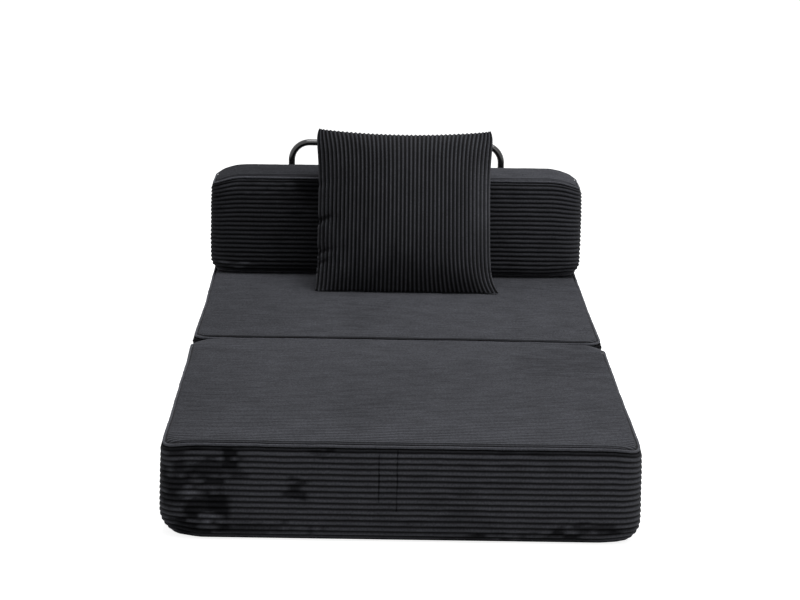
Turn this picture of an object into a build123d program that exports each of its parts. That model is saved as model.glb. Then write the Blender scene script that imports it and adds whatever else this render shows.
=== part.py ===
from build123d import *
import math
import os

# Floor sofa bed: two equal seat cushions joined by a fabric hinge, a bolster and a pillow
# standing on the rear one, and a bent tube hoop behind them. Millimetres, +Z up, front at -Y.
# The origin is on the floor at the middle of the whole bed.

# Seat cushions
seat_width = 904.0
rear_seat_narrowing = 4.0
cushion_length = 936.0
seat_height = 195.0
seat_crown = 6.0
seat_corner_radius = 45.0
seat_top_radius = 20.0
seat_bottom_radius = 42.0
seat_side_draw = 3.0
fold_gap = 4.0
firm_foam_height = 120.0

# Bolster
bolster_width = 906.0
bolster_height = 247.0
bolster_depth = 200.0
bolster_crown = 4.0
bolster_corner_radius = 38.0
bolster_top_radius = 20.0
bolster_bottom_radius = 30.0
bolster_end_draw = 2.0

# Pillow
pillow_width = 434.0
pillow_height = 416.0
pillow_thickness = 144.0
pillow_lean = 33.0
pillow_side_shift = 17.0
pillow_edge_thickness = 16.0
pillow_flap_overlap = 80.0
pillow_place_shares = (-1, -0.86, -0.5, 0, 0.5, 0.86, 1)
pillow_width_shares = (1, 0.965, 0.94, 0.933, 0.933, 0.94, 0.95)
pillow_flap_share = 0.1

# Cloth, foam and the gaps between them
cloth_thickness = 2.0
foam_clearance = 0.3
rest_clearance = 0.3
cut_overrun = 5.0

# Piping round the top edge of a cushion
piping_diameter = 6.0
piping_clearance = 0.1

# Crown of a cushion: its lip, set back from the round edge, and places along it and least rise, as shares
crown_lip = 0.5
crown_setback = 2.0
crown_place_shares = (-1, -0.82, -0.45, 0, 0.45, 0.82, 1)
crown_edge_share = 0.06

# Fabric hinge in the groove between the seat cushions
hinge_cloth = 0.8
hinge_leg = 2.0
hinge_axis_clearance = 1.0

# Zips
zip_length = 440.0
bolster_zip_rise = 46.0
zip_tape_width = 14.0
zip_coil_width = 4.0
zip_coil_height = 1.4
slider_length = 12.0
slider_wall = 1.2
slider_clearance = 0.7
slider_ear = 1.0
slider_pin_radius = 0.8
pull_width = 4.0
pull_length = 11.0
pull_thickness = 1.2
pull_root_radius = 1.5
pull_clearance = 0.25
slider_end_margin = 6.0

# Hoop and its base, one size of round tube
tube_diameter = 16.0
tube_wall = 1.2
hoop_span = 521.0
hoop_top = 492.0
hoop_corner_radius = 44.0
hoop_gap = 9.0
runner_length = 430.0
runner_bend_radius = 45.0
socket_height = 110.0
spigot_length = 50.0
spigot_root = 12.0
spigot_wall = 1.0
spigot_clearance = 0.15
cross_tube_setback = 60.0
cope_clearance = 0.2
channel_clearance = 0.6
foot_thickness = 1.5
foot_width = 13.0
foot_length = 26.0
foot_end_gap = 24.0
rear_foot_gap = 60.0
plug_flange = 2.0
plug_stem = 14.0
screw_radius = 2.5
screw_head_radius = 4.5
screw_head_height = 2.5
screw_length = 6.0
screw_rise = 25.0

# Places worked out from the sizes above
tube_radius = tube_diameter / 2
piping_radius = piping_diameter / 2
bed_length = 2 * cushion_length + fold_gap + hoop_gap + tube_diameter
front_y = -bed_length / 2
front_seat_y = front_y + cushion_length / 2
fold_y = front_y + cushion_length + fold_gap / 2
rear_seat_y = fold_y + fold_gap / 2 + cushion_length / 2
seat_rear_y = rear_seat_y + cushion_length / 2
rear_seat_width = seat_width - rear_seat_narrowing
hoop_y = seat_rear_y + hoop_gap + tube_radius
tube_z = foot_thickness + tube_radius
runner_front_y = seat_rear_y - runner_length
bolster_base_z = seat_height - seat_crown + rest_clearance
diagonal_share = 1 - math.sqrt(0.5)


def block(low, high):
    """A box between two opposite corners."""
    size = [b - a for a, b in zip(low, high)]
    middle = [(a + b) / 2 for a, b in zip(low, high)]
    return Pos(*middle) * Box(*size)


def plan_outline(width, length, corner, draw):
    """A rectangle with straight front and back, drawn-in sides and round corners."""
    half_w, half_l = width / 2, length / 2
    front = Line((-half_w, -half_l), (half_w, -half_l))
    right = ThreePointArc((half_w, -half_l), (half_w - draw, 0), (half_w, half_l))
    back = Line((half_w, half_l), (-half_w, half_l))
    left = ThreePointArc((-half_w, half_l), (draw - half_w, 0), (-half_w, -half_l))
    outline = make_face([front, right, back, left])
    return fillet(outline.vertices(), corner)


class BoxCushion:
    """A boxed cushion lying on its base: round edges, drawn-in sides and a crowned top.

    Its top can be pressed flat, without the crown, for a length at its back end.
    """

    def __init__(
        self, width, length, height, crown, corner, top_radius, base_radius, draw, flat_length=0,
    ):
        self.width = width
        self.length = length
        self.height = height
        self.crown = crown
        self.corner = corner
        self.top_radius = top_radius
        self.base_radius = base_radius
        self.draw = draw
        self.flat_length = flat_length
        self.edge_height = height - crown
        self.seam_inset = top_radius * diagonal_share
        self.seam_z = self.edge_height - self.seam_inset

    def dome(self, inset):
        """The crown: arcs that rise from a low lip towards the middle, on the flat of the top."""
        edge_width = self.top_radius + crown_setback
        margin = 2 * (inset + edge_width)
        span, run = self.width - margin, self.length - margin
        base_z = self.edge_height - inset
        half_w = span / 2 + cut_overrun
        half_run = run / 2 + cut_overrun
        sections = []
        for share in crown_place_shares:
            rise = crown_lip + (self.crown - crown_lip) * max(1 - share ** 2, crown_edge_share)
            arc = ThreePointArc((-half_w, crown_lip), (0, rise), (half_w, crown_lip))
            right = Line((half_w, crown_lip), (half_w, -2 * cut_overrun))
            base = Line((half_w, -2 * cut_overrun), (-half_w, -2 * cut_overrun))
            left = Line((-half_w, -2 * cut_overrun), (-half_w, crown_lip))
            place = Plane(origin=(0, share * half_run, base_z), x_dir=(1, 0, 0), z_dir=(0, -1, 0))
            sections.append(place * make_face([arc, right, base, left]))
        flat = plan_outline(span, run, self.corner - edge_width, self.draw)
        keep = Pos(0, 0, base_z - cut_overrun) * extrude(flat, amount=self.crown + 2 * cut_overrun)
        if self.flat_length:
            end_y = self.length / 2 - self.flat_length - inset
            keep -= block((-span, end_y, -self.height), (span, run, 2 * self.height))
        return loft(sections) & keep

    def form(self, inset=0):
        """The cushion's solid, every face moved in by the inset."""
        flat = plan_outline(self.width - 2 * inset, self.length - 2 * inset, self.corner - inset, self.draw)
        body = Pos(0, 0, inset) * extrude(flat, amount=self.edge_height - 2 * inset)
        body = fillet(body.faces().sort_by(Axis.Z)[-1].edges(), self.top_radius - inset)
        body = fillet(body.faces().sort_by(Axis.Z)[0].edges(), self.base_radius - inset)
        return body + self.dome(inset)

    def piping(self):
        """The bead along the seam at the top edge, hollowed to lie on the round of the cover."""
        inset = self.seam_inset
        flat = plan_outline(self.width - 2 * inset, self.length - 2 * inset, self.corner - inset, self.draw)
        path = Pos(0, 0, self.seam_z) * flat.face().outer_wire()
        up = Vector(0, 0, 1)
        outward = (path % 0).cross(up)
        if outward.dot(path @ 0) < 0:
            outward = -outward
        start = Plane(origin=path @ 0, x_dir=outward, z_dir=outward.cross(up))
        to_centre = self.top_radius * math.sqrt(0.5)
        edge_round = Pos(-to_centre, -to_centre) * Circle(self.top_radius + piping_clearance)
        return sweep(start * (Circle(piping_radius) - edge_round), path=path)

    def cover(self, outer, inner, base_seam_z, base_extra=None, window=None):
        """The cover's top panel, band and base panel, and the zip tape in its window."""
        far = self.width + self.length
        shell = outer - inner
        above = block((-far, -far, self.seam_z), (far, far, far))
        below = block((-far, -far, -far), (far, far, base_seam_z))
        if base_extra is not None:
            below = below + base_extra
        tape = shell & window
        open_shell = shell - window
        return {
            "top": open_shell & above,
            "band": open_shell - above - below,
            "base": (open_shell & below) - above,
            "zip_tape": tape,
        }


class Zip:
    """A zip on a plane whose X runs along the teeth and whose Z points out of the cover."""

    def __init__(self, place, length):
        self.place = place
        self.length = length
        self.plate_low = zip_coil_height + slider_clearance
        self.plate_high = self.plate_low + slider_wall
        self.pin_z = self.plate_high + pull_root_radius + pull_clearance
        self.ear_high = self.pin_z + slider_pin_radius + pull_clearance
        self.slider_x = -length / 2 + slider_end_margin + slider_length / 2
        self.travel = length - 2 * slider_end_margin - slider_length

    def window(self):
        deep = cloth_thickness * 2 + zip_tape_width
        size = Box(self.length, zip_tape_width, 2 * deep)
        return self.place * size

    def coil(self, grown, form):
        deep = zip_tape_width
        strip = self.place * Box(self.length - 2 * slider_end_margin, zip_coil_width, 2 * deep)
        return (grown - form) & strip

    def slider(self):
        lip = zip_coil_width / 2 + slider_clearance
        half_w = lip + slider_wall
        half_l = slider_length / 2
        body = block((-half_l, -half_w, slider_clearance), (half_l, half_w, self.plate_high))
        body -= block((-slider_length, -lip, -cut_overrun), (slider_length, lip, self.plate_low))
        ear_low = pull_width / 2 + pull_clearance
        for side in (-1, 1):
            inner, outer = sorted((side * ear_low, side * (ear_low + slider_ear)))
            ear_half = pull_root_radius
            body += block((-ear_half, inner, self.plate_low), (ear_half, outer, self.ear_high))
        pin_length = 2 * (ear_low + slider_ear)
        body += Pos(0, 0, self.pin_z) * Rot(X=90) * Cylinder(slider_pin_radius, pin_length)
        return self.place * Pos(self.slider_x, 0, 0) * body

    def pull(self):
        half_w = pull_width / 2
        tab = block((0, -half_w, -pull_thickness / 2), (pull_length, half_w, pull_thickness / 2))
        tab = fillet(tab.edges().filter_by(Axis.Z).sort_by(Axis.X)[-2:], half_w - pull_clearance)
        tab += Rot(X=90) * Cylinder(pull_root_radius, pull_width)
        tab -= Rot(X=90) * Cylinder(slider_pin_radius + pull_clearance, 2 * pull_width)
        return self.place * Pos(self.slider_x, 0, self.pin_z) * tab


def tube_along(path, outer, inner=None):
    """A round bar along a path, or a tube when an inner radius is given."""
    start = Plane(origin=path @ 0, z_dir=path % 0)
    ring = start * Circle(outer)
    if inner is not None:
        ring -= start * Circle(inner)
    return sweep(ring, path=path)


def runner_path(side, extra=0):
    """From the runner's front end back along the floor and up to the socket."""
    x = side * hoop_span / 2
    points = [
        (x, runner_front_y - extra, tube_z),
        (x, hoop_y, tube_z),
        (x, hoop_y, socket_height),
    ]
    return FilletPolyline(*points, radius=runner_bend_radius)


def frame_channels(inset):
    """The room for the base of the hoop in the underside of the rear cushion."""
    room = tube_radius + channel_clearance + inset
    channels = None
    for side in (-1, 1):
        x = side * hoop_span / 2
        upper = tube_along(runner_path(side, plug_flange + channel_clearance + inset), room)
        low = (x - room, runner_front_y - plug_flange - channel_clearance - inset, -cut_overrun)
        high = (x + room, seat_rear_y + cut_overrun, tube_z)
        channel = upper + block(low, high)
        channels = channel if channels is None else channels + channel
    cross_y = runner_front_y + cross_tube_setback
    half_span = hoop_span / 2
    cross = Pos(0, cross_y, tube_z) * Rot(Y=90) * Cylinder(room, hoop_span)
    slot = block((-half_span, cross_y - room, -cut_overrun), (half_span, cross_y + room, tube_z))
    return channels + cross + slot


def make_runner(side):
    inner = tube_radius - tube_wall
    runner = tube_along(runner_path(side), tube_radius, inner)
    x = side * hoop_span / 2
    spigot_radius = inner - spigot_clearance
    root = Pos(x, hoop_y, socket_height - spigot_root)
    spigot = extrude(root * Circle(inner), amount=spigot_root)
    spigot += extrude(root * Circle(spigot_radius), amount=spigot_root + spigot_length)
    spigot -= extrude(root * Circle(spigot_radius - spigot_wall), amount=spigot_root + spigot_length)
    return runner + spigot - screw_hole(side)


def make_hoop():
    half_span = hoop_span / 2
    bar_z = hoop_top - tube_radius
    points = [
        (-half_span, hoop_y, socket_height),
        (-half_span, hoop_y, bar_z),
        (half_span, hoop_y, bar_z),
        (half_span, hoop_y, socket_height),
    ]
    path = FilletPolyline(*points, radius=hoop_corner_radius)
    hoop = tube_along(path, tube_radius, tube_radius - tube_wall)
    return hoop - screw_hole(-1) - screw_hole(1)


def screw_place(side):
    """On the inner side of a leg, pointing to the middle of the bed."""
    x = side * (hoop_span / 2 - tube_radius)
    return Plane(origin=(x, hoop_y, socket_height + screw_rise), z_dir=(-side, 0, 0))


def screw_hole(side):
    return screw_place(side) * Cylinder(screw_radius, 2 * screw_length)


def make_screws():
    screws = []
    for side in (-1, 1):
        shank = Pos(0, 0, -screw_length / 2) * Cylinder(screw_radius, screw_length)
        head = Pos(0, 0, screw_head_height / 2) * Cylinder(screw_head_radius, screw_head_height)
        head = fillet(head.faces().sort_by(Axis.Z)[-1].edges(), screw_head_height / 2)
        leg = tube_leg(side)
        screws.append(screw_place(side) * (shank + head) - leg)
    return Compound(children=screws)


def tube_leg(side):
    """The round of a hoop leg near its screw, to seat the screw's head on."""
    x = side * hoop_span / 2
    ring = Circle(tube_radius) - Circle(tube_radius - tube_wall - spigot_clearance - spigot_wall)
    leg = Pos(x, hoop_y, socket_height) * extrude(ring, amount=spigot_length)
    return leg - screw_hole(side)


def make_end_plugs():
    plugs = []
    for side in (-1, 1):
        start = Pos(side * hoop_span / 2, runner_front_y, tube_z) * Rot(X=90)
        flange = Pos(0, 0, plug_flange / 2) * Cylinder(tube_radius, plug_flange)
        flange = fillet(flange.faces().sort_by(Axis.Z)[-1].edges(), plug_flange / 2)
        stem_radius = tube_radius - tube_wall - spigot_clearance
        stem = Pos(0, 0, -plug_stem / 2) * Cylinder(stem_radius, plug_stem)
        plugs.append(start * (flange + stem))
    return Compound(children=plugs)


def make_feet():
    """Pads under the runners, hollowed to the round of the tube."""
    feet = []
    front = runner_front_y + foot_end_gap
    rear = seat_rear_y - rear_foot_gap
    for side in (-1, 1):
        for y in (front, rear):
            x = side * hoop_span / 2
            low = (x - foot_width / 2, y - foot_length / 2, 0)
            high = (x + foot_width / 2, y + foot_length / 2, tube_z - tube_radius / 2)
            tube = Pos(x, y, tube_z) * Rot(X=90) * Cylinder(tube_radius, 2 * foot_length)
            feet.append(block(low, high) - tube)
    return Compound(children=feet)


def make_cross_tube():
    y = runner_front_y + cross_tube_setback
    ring = Circle(tube_radius) - Circle(tube_radius - tube_wall)
    half_span = hoop_span / 2
    start = Plane(origin=(-half_span, y, tube_z), z_dir=(1, 0, 0))
    cross = extrude(start * ring, amount=hoop_span)
    for side in (-1, 1):
        runner = Pos(side * half_span, y, tube_z) * Rot(X=90)
        cross -= runner * Cylinder(tube_radius + cope_clearance, 2 * tube_diameter)
    return cross


def make_hinge_strip(seat):
    """A tuck of cloth sewn in along both piped edges, hanging in the groove."""
    half_gap = fold_gap / 2 + seat.seam_inset - piping_radius - rest_clearance
    drop = -hinge_leg
    inner = half_gap - hinge_cloth
    arc_out = ThreePointArc((-half_gap, drop), (0, drop - half_gap), (half_gap, drop))
    arc_in = ThreePointArc((inner, drop), (0, drop - inner), (-inner, drop))
    right_out = Line((half_gap, drop), (half_gap, 0))
    right_top = Line((half_gap, 0), (inner, 0))
    right_in = Line((inner, 0), (inner, drop))
    left_in = Line((-inner, drop), (-inner, 0))
    left_top = Line((-inner, 0), (-half_gap, 0))
    left_out = Line((-half_gap, 0), (-half_gap, drop))
    section = make_face([arc_out, right_out, right_top, right_in, arc_in, left_in, left_top, left_out])
    length = rear_seat_width - 2 * seat_corner_radius
    start = Plane(origin=(-length / 2, fold_y, seat.seam_z), x_dir=(0, 1, 0), z_dir=(1, 0, 0))
    return extrude(start * section, amount=length)


def seat_zip(seat):
    """Along the middle of the round at the back of the base."""
    inset = seat.base_radius * diagonal_share
    origin = (0, seat.length / 2 - inset, inset)
    place = Plane(origin=origin, x_dir=(1, 0, 0), z_dir=(0, 1, -1))
    return Zip(place, zip_length)


def make_seat(name, seat, y, form, base_extra=None):
    """All the pieces of one seat cushion, in their place on the floor."""
    outer = form(0)
    zipper = seat_zip(seat)
    base_seam = cloth_thickness * 2
    cover = seat.cover(outer, form(cloth_thickness), base_seam, base_extra, zipper.window())
    foam = form(cloth_thickness + foam_clearance)
    far = seat.width + seat.length
    firm_zone = block((-far, -far, -far), (far, far, firm_foam_height))
    pieces = {
        "top_panel": cover["top"],
        "side_band": cover["band"],
        "bottom_panel": cover["base"],
        "piping": seat.piping(),
        "firm_foam": foam & firm_zone,
        "comfort_foam": foam - firm_zone,
        "zip_tape": cover["zip_tape"],
        "zip_coil": zipper.coil(form(-zip_coil_height), outer),
        "zip_slider": zipper.slider(),
        "zip_pull": zipper.pull(),
    }
    return {name + "_" + key: Pos(0, y, 0) * piece for key, piece in pieces.items()}


def rear_form(seat, inset):
    """The rear cushion's form with the channels in its underside."""
    return seat.form(inset) - Pos(0, -rear_seat_y, 0) * frame_channels(inset)


def make_rear_seat(seat):
    lining = Pos(0, -rear_seat_y, 0) * frame_channels(cloth_thickness + foam_clearance)
    return make_seat("rear_seat", seat, rear_seat_y, lambda inset: rear_form(seat, inset), lining)


def make_bolster():
    """A boxed cushion like the seats, standing on the rear end of the rear one."""
    cushion = BoxCushion(
        bolster_width, bolster_depth, bolster_height, bolster_crown,
        bolster_corner_radius, bolster_top_radius, bolster_bottom_radius, bolster_end_draw,
    )
    stand = Pos(0, seat_rear_y - bolster_depth / 2, bolster_base_z)
    zip_origin = (0, bolster_depth / 2, bolster_zip_rise)
    zipper = Zip(Plane(origin=zip_origin, x_dir=(1, 0, 0), z_dir=(0, 1, 0)), zip_length)
    outer = cushion.form()
    base_seam = cloth_thickness * 2
    cover = cushion.cover(outer, cushion.form(cloth_thickness), base_seam, None, zipper.window())
    pieces = {
        "top_panel": cover["top"],
        "side_band": cover["band"],
        "bottom_panel": cover["base"],
        "piping": cushion.piping(),
        "foam": cushion.form(cloth_thickness + foam_clearance),
        "zip_tape": cover["zip_tape"],
        "zip_coil": zipper.coil(cushion.form(-zip_coil_height), outer),
        "zip_slider": zipper.slider(),
        "zip_pull": zipper.pull(),
    }
    return {"bolster_" + key: stand * piece for key, piece in pieces.items()}


def pillow_form(inset):
    """Upright pillow: lens sections from its bottom edge to its top edge."""
    half_h = pillow_height / 2 - inset
    sections = []
    for place_share, width_share in zip(pillow_place_shares, pillow_width_shares):
        half_w = width_share * pillow_width / 2 - 2 * inset
        fullness = math.sqrt(1 - place_share ** 2)
        edge = pillow_edge_thickness / 2
        bulge = edge + (pillow_thickness / 2 - edge) * fullness - inset
        front = ThreePointArc((-half_w, 0), (0, -bulge), (half_w, 0))
        back = ThreePointArc((half_w, 0), (0, bulge), (-half_w, 0))
        sections.append(Pos(0, 0, place_share * half_h) * make_face([front, back]))
    return loft(sections)


def pillow_place():
    """Leaning on the bolster's top front edge, with its foot on the rear seat."""
    lean = math.radians(pillow_lean)
    bolster_front_y = seat_rear_y - bolster_depth
    edge_z = bolster_height - bolster_top_radius
    reach = (pillow_thickness / 2 + rest_clearance) / math.cos(lean) + edge_z * math.tan(lean)
    foot_y = bolster_front_y - reach
    upright = Rot(X=-pillow_lean) * Pos(0, 0, pillow_height / 2)
    lowest = (upright * pillow_form(0)).bounding_box().min.Z
    return Pos(pillow_side_shift, foot_y, seat_height + rest_clearance - lowest) * upright


def make_pillow():
    outer = pillow_form(0)
    middle = pillow_form(cloth_thickness)
    inner = pillow_form(2 * cloth_thickness)
    insert = pillow_form(2 * cloth_thickness + foam_clearance)
    skin = outer - middle
    flap_layer = middle - inner
    far = pillow_width + pillow_height
    flap_z = pillow_flap_share * pillow_height
    front_half = block((-far, -far, -far), (far, 0, far))
    upper_back = block((-far, 0, flap_z), (far, far, far))
    lower_back = block((-far, 0, -far), (far, far, flap_z))
    flap = block((-far, 0, flap_z - cloth_thickness), (far, far, flap_z + pillow_flap_overlap))
    place = pillow_place()
    pieces = {
        "pillow_front_panel": skin & front_half,
        "pillow_upper_back": skin & upper_back,
        "pillow_lower_back": (skin & lower_back) + (flap_layer & flap),
        "pillow_insert": insert,
    }
    return {name: place * piece for name, piece in pieces.items()}


def all_pieces():
    front = BoxCushion(
        seat_width, cushion_length, seat_height, seat_crown,
        seat_corner_radius, seat_top_radius, seat_bottom_radius, seat_side_draw,
    )
    rear = BoxCushion(
        rear_seat_width, cushion_length, seat_height, seat_crown,
        seat_corner_radius, seat_top_radius, seat_bottom_radius, seat_side_draw, bolster_depth,
    )
    pieces = make_seat("front_seat", front, front_seat_y, front.form)
    pieces.update(make_rear_seat(rear))
    pieces["fabric_hinge"] = make_hinge_strip(rear)
    pieces.update(make_bolster())
    pieces.update(make_pillow())
    pieces["back_hoop"] = make_hoop()
    pieces["left_runner"] = make_runner(-1)
    pieces["right_runner"] = make_runner(1)
    pieces["runner_cross_tube"] = make_cross_tube()
    pieces["runner_end_plugs"] = make_end_plugs()
    pieces["runner_feet"] = make_feet()
    pieces["hoop_screws"] = make_screws()
    return pieces


os.makedirs("parts", exist_ok=True)
for name, piece in all_pieces().items():
    export_step(piece, f"parts/{name}.step")
print("seat fold axis: y", fold_y, "z", seat_height + hinge_axis_clearance)
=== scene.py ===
"""Dresses a folding floor sofa bed: ribbed cushions, a loose bolster and pillow, zips and a tube hoop."""
import math

import bmesh
import bpy
from bpy.props import FloatProperty, FloatVectorProperty, IntProperty, PointerProperty
from mathutils import Matrix, Vector, noise
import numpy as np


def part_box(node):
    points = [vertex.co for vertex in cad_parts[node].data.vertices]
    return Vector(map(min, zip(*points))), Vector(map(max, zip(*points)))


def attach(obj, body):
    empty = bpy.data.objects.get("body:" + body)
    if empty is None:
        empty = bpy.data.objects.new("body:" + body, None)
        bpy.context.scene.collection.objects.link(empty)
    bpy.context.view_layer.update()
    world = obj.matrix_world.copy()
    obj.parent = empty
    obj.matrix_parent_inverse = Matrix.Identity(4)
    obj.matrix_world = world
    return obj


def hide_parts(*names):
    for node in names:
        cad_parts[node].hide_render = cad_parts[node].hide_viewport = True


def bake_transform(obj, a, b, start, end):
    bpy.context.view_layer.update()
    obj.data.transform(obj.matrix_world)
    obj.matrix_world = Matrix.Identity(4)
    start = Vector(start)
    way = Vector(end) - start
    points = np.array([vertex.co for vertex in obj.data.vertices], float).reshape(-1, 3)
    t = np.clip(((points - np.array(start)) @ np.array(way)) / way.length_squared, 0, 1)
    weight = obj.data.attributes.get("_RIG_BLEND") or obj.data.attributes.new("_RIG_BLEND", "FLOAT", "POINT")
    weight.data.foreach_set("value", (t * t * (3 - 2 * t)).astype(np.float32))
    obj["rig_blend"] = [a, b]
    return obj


bl_info = {
    "name": "Floor Sofa Bed",
    "version": (1, 0, 0),
    "blender": (4, 5, 0),
    "location": "View3D > Sidebar > Sofa Bed",
    "description": "Covers a folding floor sofa bed in wide corduroy and finishes its zips and tubes",
    "category": "Object",
}

MM = 0.001
# Noise vectors read offsets drawn at random, the same ones in each run with this seed
NOISE_SEED = 7
# Points nearer than this are one point
MERGE_REACH = 0.01 * MM
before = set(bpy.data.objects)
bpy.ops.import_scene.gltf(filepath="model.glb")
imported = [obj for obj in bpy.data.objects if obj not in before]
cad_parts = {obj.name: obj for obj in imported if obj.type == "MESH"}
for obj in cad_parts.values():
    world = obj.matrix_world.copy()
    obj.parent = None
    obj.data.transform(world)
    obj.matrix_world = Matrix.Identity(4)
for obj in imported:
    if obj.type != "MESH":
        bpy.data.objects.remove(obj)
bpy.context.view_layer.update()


def pile_marks(*rows):
    """Marks on the pile, from rows with places and reaches in mm and a plain strength last."""
    return tuple((*(length * MM for length in row[:-1]), row[-1]) for row in rows)


# Rounds of the cushions' edges and how far their sides draw in, which the frame's boxes don't give
SEAT_CORNER = 45 * MM
SEAT_TOP_ROUND = 20 * MM
SEAT_BASE_ROUND = 42 * MM
BASE_SEAM_RISE = 4 * MM
SEAT_DRAW = 3 * MM
BOLSTER_CORNER = 38 * MM
BOLSTER_TOP_ROUND = 20 * MM
BOLSTER_BASE_ROUND = 30 * MM
BOLSTER_DRAW = 2 * MM
SEAM_ANGLE = math.pi / 4
COVER_THICKNESS = 2 * MM
FOAM_GAP = 6 * MM

# The pillow: its edge, how full it starts, its filling's share of it each way, its cords, and how its seams
# shrink and its sides swell
PILLOW_EDGE = 16 * MM
PILLOW_START_SHARE = 0.88
PILLOW_FILL_SHARES = (0.82, 0.8, 0.84)
PILLOW_CORD_DEPTH = 6.0 * MM
PILLOW_CORD_SHARPNESS = 2.5
PILLOW_SEAM_SHRINK = 7 * MM
PILLOW_SWELL = 16 * MM
# Height above the pillow's middle, and depth, of each pucker in its left seam
PILLOW_PUCKERS = ((-33 * MM, 9 * MM), (-112 * MM, 8 * MM), (-140 * MM, 6 * MM), (60 * MM, 4 * MM))
PUCKER_HALF_HEIGHT = 9 * MM
PUCKER_REACH = 26 * MM
# Share by which a pucker falls on its way in, and share of its depth that draws the seam in
PUCKER_SLANT = 0.2
PUCKER_DRAW = 0.5
# Outline: width at the waist, flare at the head and at the left and right foot, as shares of the half width
PILLOW_WAIST_SHARE = 0.95
PILLOW_HEAD_FLARE_SHARE = 0.075
PILLOW_FOOT_FLARE_SHARES = (0.015, 0.105)
PILLOW_CORNER_DRAW = 17 * MM
PILLOW_CORNER_DIP = 4 * MM
# Painted shade in the pillow's grooves, and how much shallower they get at its top and bottom seams
PILLOW_GROOVE_SHADE = 0.85
PILLOW_RIM_SHALLOWS = 0.55

# The crown's exponent, its fade beside what presses it flat, the bulge of a band, and a panel's columns
CROWN_FULLNESS = 0.7
CROWN_FADE = 90 * MM
BAND_BULGE = 1.5 * MM
PANEL_COLUMNS = 64
# Columns crowd towards a panel's sides
PANEL_CROWDING = 1.5

# Waves of a slack cover: length, share of the slack, and where in the noise they are read
SLACK_WAVES = ((190 * MM, 1.0, (0, 0, 0)), (55 * MM, 0.45, (7, 3, 5)), (17 * MM, 0.4, (2, 9, 4)))
# A cover has no slack at the floor, and all of it from this height up
SLACK_FROM = 60 * MM

# Tubes under the rear cushion: bend of the runners, how the base cover keeps off them, where it is cut finer
RUNNER_BEND = 45 * MM
TUBE_CLEARANCE = 0.8 * MM
TUBE_HEM = 3 * MM
TUBE_NEAR = 20 * MM
TUBE_CUTS = [step * MM for step in (-12, -9.5, -8, -4, 0, 4, 8, 9.5, 12)]

# Spare gap in a band above and below the zip tape
ZIP_MARGIN = 2 * MM

# How far the corners of a top edge hang down, and their reach across and along
SEAT_DROOP = (12 * MM, 70 * MM, 80 * MM)
BOLSTER_DROOP = (24 * MM, 84 * MM, 1000 * MM)

# Radius of a base edge at the left end, the middle and the right end of a cushion's front
FRONT_BASE_ROUNDS = (50 * MM, 26 * MM, 40 * MM)
BOLSTER_BASE_ROUNDS = (36 * MM, 30 * MM, 40 * MM)
# Where an end's round starts to fade and where it has, and up to what height the cords bend with it
BASE_ROUND_END = 25 * MM
BASE_ROUND_FADE = 85 * MM
BASE_CORDS_BEND = 60 * MM

# The piping, and the crease beside it where the cords begin; the crease is sunk and painted with the groove
# colour's shade
BEAD_RADIUS = 2.6 * MM
BEAD_COLUMN = 8 * MM
BEAD_SIDES = 10
BEAD_CREASE = 3.6 * MM
CORD_START = 6.4 * MM

# Folds that the front cushion's band kept from its packing, sunk in and painted with shade: place across its
# front, first and last drop
PACKING_CREASES = (
    (-42 * MM, 20 * MM, 112 * MM),
    (-8 * MM, 10 * MM, 128 * MM),
)
CREASE_HALF_WIDTH = 2 * MM
CREASE_DEPTH = 0.9 * MM
CREASE_STEP = 1.6 * MM

# Noise cells of the crushed pile and of the patches' ragged edges: per metre of cloth, and from cord to cord
CRUSH_CELLS = (3.1, 1.9)
CRUSH_EDGE_CELLS = (22, 1.7)
PATCH_EDGE_CELLS = ((30, 5.3), (95, 3.1))
# Where crushed pile begins and is full in its noise, and where a patch and a drift fade within their reach
CRUSH_STEP = (0.3, 0.62)
PATCH_FADE = (0.8, 1.1)
DRIFT_FADE = (0.3, 1.0)
# How flat crushed pile lies
TOP_CRUSH = 0.35
BAND_CRUSH = 0.4
PILLOW_CRUSH = 0.3

# Brushed pile, in mm: place along the band from the middle of its front, drop, reach each way, strength
FRONT_PATCHES = pile_marks(
    (-418, 70, 30, 50, 0.8),
    (-372, 112, 34, 32, 0.85),
    (-350, 40, 44, 26, 0.7),
    (-404, 160, 38, 16, 0.9),
    (-332, 120, 14, 50, 0.9),
    (-318, 28, 8, 16, 1.1),
    (-392, 90, 22, 14, -1.3),
    (-352, 138, 18, 11, -1.5),
    (-336, 28, 12, 6, -1.4),
    (-384, 30, 22, 6, -1.0),
    (-193, 82, 19, 17, 1.1),
    (-150, 14, 26, 8, 0.8),
    (-270, 158, 90, 12, 0.7),
    (345, 150, 70, 14, 0.9),
    (280, 166, 100, 12, 0.7),
    (120, 172, 60, 8, 0.5),
)
# Painted highlights on the bolster's band at its left end, in the same columns: a light line along its base,
# and a lighter stretch under its top seam
BOLSTER_HIGHLIGHTS = pile_marks(
    (-392, 216, 42, 7, -1.2),
    (-350, 24, 70, 16, -0.35),
)

# Broad, soft marks on the pile, mostly painted shade and painted light with a little plain tone, in mm: place
# along the cloth and across it, reach each way, strength
# Front cushion's band: painted shade along its base, just under its top seam and on its left part, and a
# faint darkening over all of it
FRONT_SHADING = pile_marks(
    (0, 200, 900, 24, 0.7),
    (-430, 90, 200, 200, 0.36),
    (0, 90, 1400, 300, 0.08),
    (0, 6, 1400, 7, 0.9),
)
# Rear cushion's band: painted shade at the top of its front, in the groove between the cushions
REAR_FRONT_SHADING = pile_marks(
    (0, 12, 1400, 40, 1.4),
)
# Front cushion's top: painted shade along its front seam and at its left end, painted light over its near
# half, and a faint darkening in its middle
SEAT_SHADING = pile_marks(
    (0, -462, 1400, 10, 0.9),
    (60, -500, 700, 420, -0.3),
    (-520, 0, 260, 600, 0.2),
    (0, 60, 260, 200, 0.08),
)
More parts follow.
